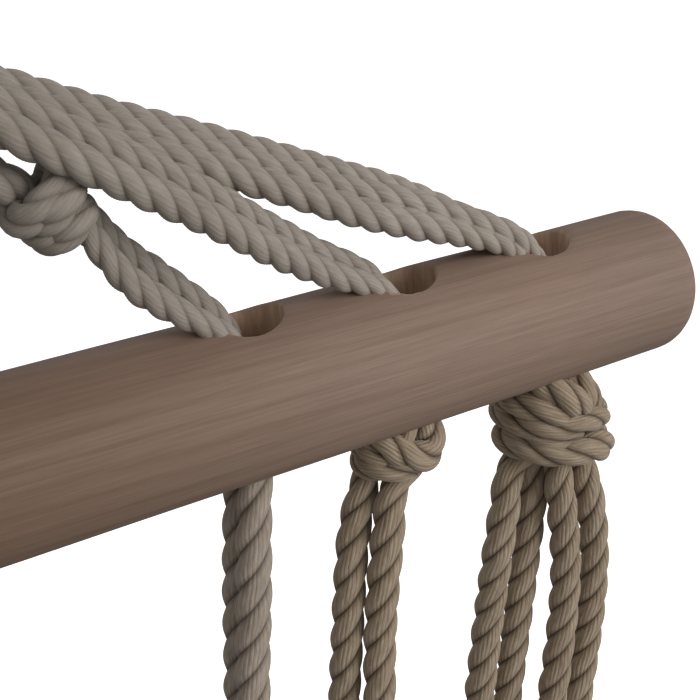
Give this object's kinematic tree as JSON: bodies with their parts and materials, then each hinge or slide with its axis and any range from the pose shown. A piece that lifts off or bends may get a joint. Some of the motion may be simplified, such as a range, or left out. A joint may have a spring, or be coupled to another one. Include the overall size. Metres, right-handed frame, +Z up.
{
  "type": "hanging rope hammock",
  "caption": "Hanging rope hammock: ring, rope harness, drilled wooden spreader bar and a rope net seat on knotted ropes.",
  "frame": {"origin": "inside of the hanging ring's top, where a hook takes the whole seat", "axes": "+Z up, X along the spreader bar, -Y towards the sitter's front"},
  "size_m": [0.9, 0.4374, 1.0848],
  "materials": {
    "ring_steel": "zinc-plated round wire",
    "cotton_rope": "natural three-strand laid cotton, matt and hairy",
    "net_rope": "natural three-strand laid cotton, thinner",
    "binding_twine": "tight natural cotton twine",
    "bar_wood": "sanded bare hardwood, pale pinkish brown"
  },
  "bodies": {
    "ring": {"hanging_ring": "ring_steel"},
    "eye": {"rope_eye": "cotton_rope", "eye_binding": "binding_twine"},
    "harness": {"harness_rope_right_1": "cotton_rope", "harness_rope_right_2": "cotton_rope", "harness_rope_right_3": "cotton_rope", "harness_rope_right_4": "cotton_rope", "harness_rope_right_5": "cotton_rope", "harness_rope_right_6": "cotton_rope", "harness_rope_right_7": "cotton_rope", "harness_rope_right_8": "cotton_rope", "harness_rope_left_1": "cotton_rope", "harness_rope_left_2": "cotton_rope", "harness_rope_left_3": "cotton_rope", "harness_rope_left_4": "cotton_rope", "harness_rope_left_5": "cotton_rope", "harness_rope_left_6": "cotton_rope", "harness_rope_left_7": "cotton_rope", "harness_rope_left_8": "cotton_rope", "harness_knot_right": "cotton_rope", "harness_knot_left": "cotton_rope"},
    "bar": {"spreader_bar": "bar_wood", "stopper_knot_right_outer": "cotton_rope", "stopper_knot_right_middle": "cotton_rope", "stopper_knot_left_outer": "cotton_rope", "stopper_knot_left_middle": "cotton_rope", "bar_ropes_right_inner": "cotton_rope", "bar_ropes_left_inner": "cotton_rope"},
    "seat": {"sling_rope_1": "cotton_rope", "sling_rope_2": "cotton_rope", "sling_rope_3": "cotton_rope", "sling_rope_4": "cotton_rope", "sling_rope_5": "cotton_rope", "sling_rope_6": "cotton_rope", "sling_rope_7": "cotton_rope", "sling_rope_8": "cotton_rope", "net_rope_1": "net_rope", "net_rope_2": "net_rope", "net_rope_3": "net_rope", "net_rope_4": "net_rope", "net_rope_5": "net_rope", "net_rope_6": "net_rope", "net_rope_7": "net_rope", "net_rope_8": "net_rope", "net_rope_9": "net_rope", "net_rope_10": "net_rope", "net_rope_11": "net_rope", "net_rope_12": "net_rope", "net_rope_13": "net_rope"}
  },
  "joints": [
    {"name": "swing_fore_aft", "type": "hinge", "parent": "ring", "child": "eye", "pos_m": [0, 0, -0.068], "axis": [1, 0, 0], "range_deg": [-35, 35]},
    {"name": "swing_sideways", "type": "hinge", "parent": "eye", "child": "harness", "pos_m": [0, 0, -0.144], "axis": [0, 1, 0], "range_deg": [-12, 12]},
    {"name": "bar_roll", "type": "hinge", "parent": "harness", "child": "bar", "pos_m": [0, 0, -0.387], "axis": [1, 0, 0], "range_deg": [-12, 12]},
    {"name": "seat_swing", "type": "hinge", "parent": "bar", "child": "seat", "pos_m": [0, 0, -0.439], "axis": [1, 0, 0], "range_deg": [-30, 30]}
  ]
}
